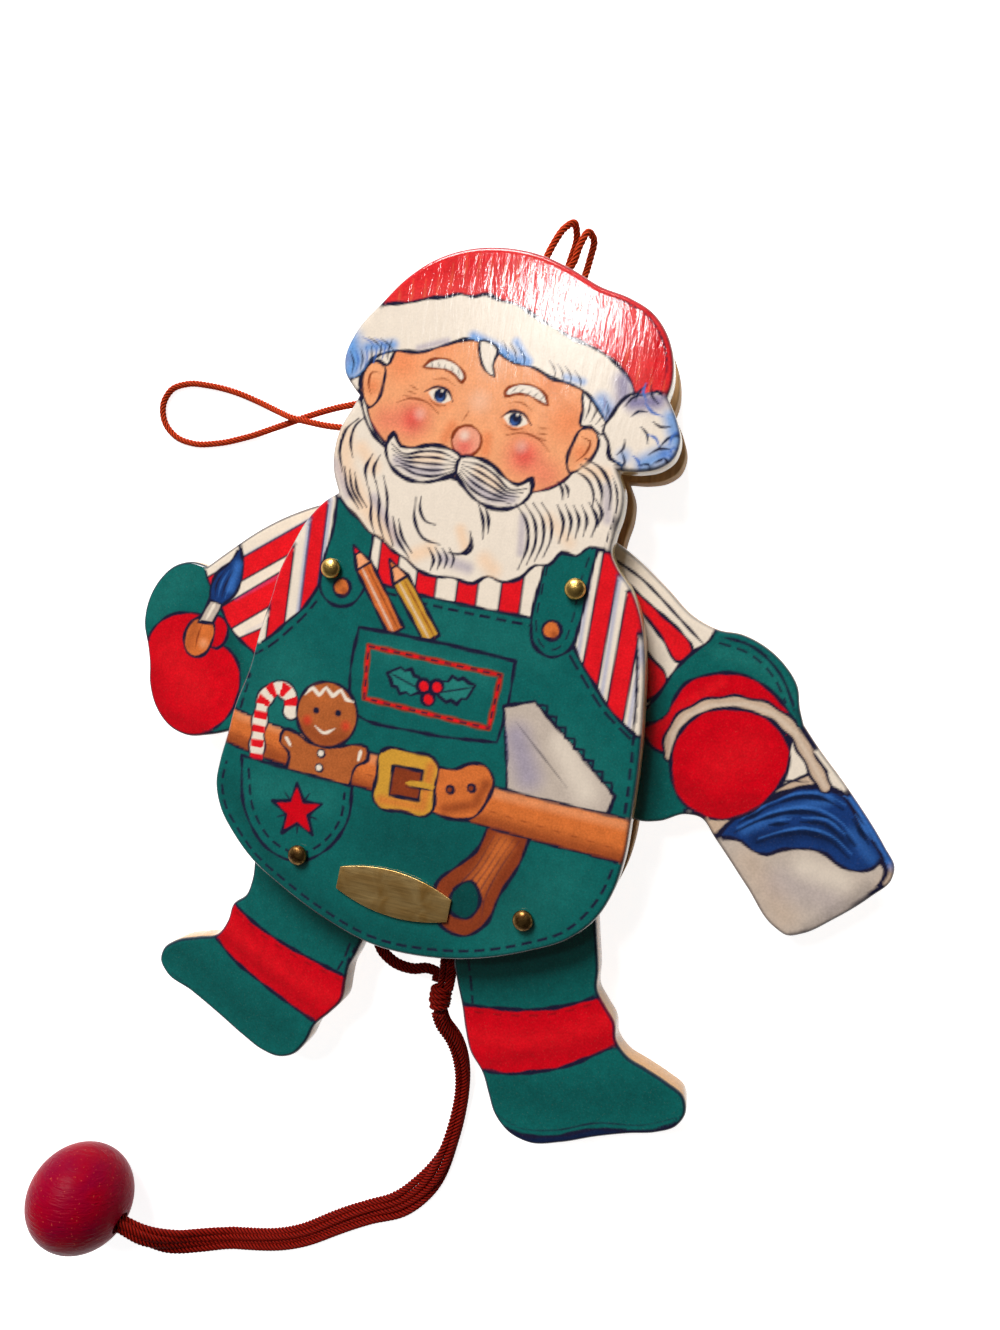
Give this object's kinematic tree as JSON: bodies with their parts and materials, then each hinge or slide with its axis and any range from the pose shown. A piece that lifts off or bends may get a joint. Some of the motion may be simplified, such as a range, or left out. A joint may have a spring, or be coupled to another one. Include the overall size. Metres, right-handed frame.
{
  "type": "jumping jack ornament",
  "caption": "Flat wooden jumping jack figure of Father Christmas with a hanging loop; pulling the bead swings its arms up and its legs out.",
  "frame": {"origin": "on the back face, in the middle of the body", "axes": "+Z out of the printed face, +Y from the boots to the hat, +X to the viewer's right"},
  "size_m": [0.1224, 0.1703, 0.0168],
  "materials": {
    "printed_front": "printed and varnished birch, mostly green overalls",
    "printed_arms": "printed and varnished birch, red and cream stripes",
    "printed_legs": "printed and varnished birch, green legs with red cuffs",
    "bare_birch": "bare light birch",
    "brass_pins": "satin brass, a little tarnished",
    "gold_foil": "thin gold foil, bare",
    "red_cord": "twisted rust red thread",
    "crimson_bead": "crimson paint, worn satin"
  },
  "bodies": {
    "figure": {"front_board": "printed_front", "back_board": "bare_birch", "head_spacer": "bare_birch", "left_shoulder_pin": "brass_pins", "right_shoulder_pin": "brass_pins", "left_hip_pin": "brass_pins", "right_hip_pin": "brass_pins", "foil_label": "gold_foil", "hanging_cord": "red_cord"},
    "pull": {"gathering_knot": "red_cord", "pull_cord_1": "red_cord", "pull_cord_2": "red_cord", "pull_cord_3": "red_cord", "pull_cord_4": "red_cord", "bead": "crimson_bead", "stop_knot": "red_cord"},
    "left_arm": {"left_arm": "printed_arms"},
    "right_arm": {"right_arm": "printed_arms"},
    "left_leg": {"left_leg": "printed_legs"},
    "right_leg": {"right_leg": "printed_legs"},
    "left_arm_cord": {"left_arm_cord": "red_cord"},
    "right_arm_cord": {"right_arm_cord": "red_cord"},
    "left_leg_cord": {"left_leg_cord": "red_cord"},
    "right_leg_cord": {"right_leg_cord": "red_cord"}
  },
  "joints": [
    {"name": "pull_slide", "type": "slide", "parent": "figure", "child": "pull", "axis": [0, -1, 0], "range_m": [0, 0.0091]},
    {"name": "left_arm_swing", "type": "hinge", "parent": "figure", "child": "left_arm", "pos_m": [-0.0174, 0.0158, 0.0075], "axis": [0, 0, 1], "range_deg": [-64.8, 0]},
    {"name": "right_arm_swing", "type": "hinge", "parent": "figure", "child": "right_arm", "pos_m": [0.0176, 0.0179, 0.0075], "axis": [0, 0, 1], "range_deg": [0, 64.8]},
    {"name": "left_leg_swing", "type": "hinge", "parent": "figure", "child": "left_leg", "pos_m": [-0.0167, -0.0258, 0.0075], "axis": [0, 0, 1], "range_deg": [-48.9, 0]},
    {"name": "right_leg_swing", "type": "hinge", "parent": "figure", "child": "right_leg", "pos_m": [0.0174, -0.0276, 0.0075], "axis": [0, 0, 1], "range_deg": [0, 48.9]},
    {"name": "left_arm_cord_turn", "type": "hinge", "parent": "left_arm", "child": "left_arm_cord", "pos_m": [-0.01022, 0.02035, 0.0075], "axis": [0, 0, 1], "range_deg": [0, 64.8]},
    {"name": "right_arm_cord_turn", "type": "hinge", "parent": "right_arm", "child": "right_arm_cord", "pos_m": [0.01042, 0.02245, 0.0075], "axis": [0, 0, 1], "range_deg": [-64.8, 0]},
    {"name": "left_leg_cord_turn", "type": "hinge", "parent": "left_leg", "child": "left_leg_cord", "pos_m": [-0.00668, -0.02125, 0.0075], "axis": [0, 0, 1], "range_deg": [0, 48.9]},
    {"name": "right_leg_cord_turn", "type": "hinge", "parent": "right_leg", "child": "right_leg_cord", "pos_m": [0.00739, -0.02305, 0.0075], "axis": [0, 0, 1], "range_deg": [-48.9, 0]}
  ],
  "couplings": [
    {"joint": "left_arm_swing", "follows": "pull_slide", "rad_per_m": -124.14},
    {"joint": "right_arm_swing", "follows": "pull_slide", "rad_per_m": 124.14},
    {"joint": "left_leg_swing", "follows": "pull_slide", "rad_per_m": -93.72},
    {"joint": "right_leg_swing", "follows": "pull_slide", "rad_per_m": 93.72},
    {"joint": "left_arm_cord_turn", "follows": "pull_slide", "rad_per_m": 124.14},
    {"joint": "right_arm_cord_turn", "follows": "pull_slide", "rad_per_m": -124.14},
    {"joint": "left_leg_cord_turn", "follows": "pull_slide", "rad_per_m": 93.72},
    {"joint": "right_leg_cord_turn", "follows": "pull_slide", "rad_per_m": -93.72}
  ]
}
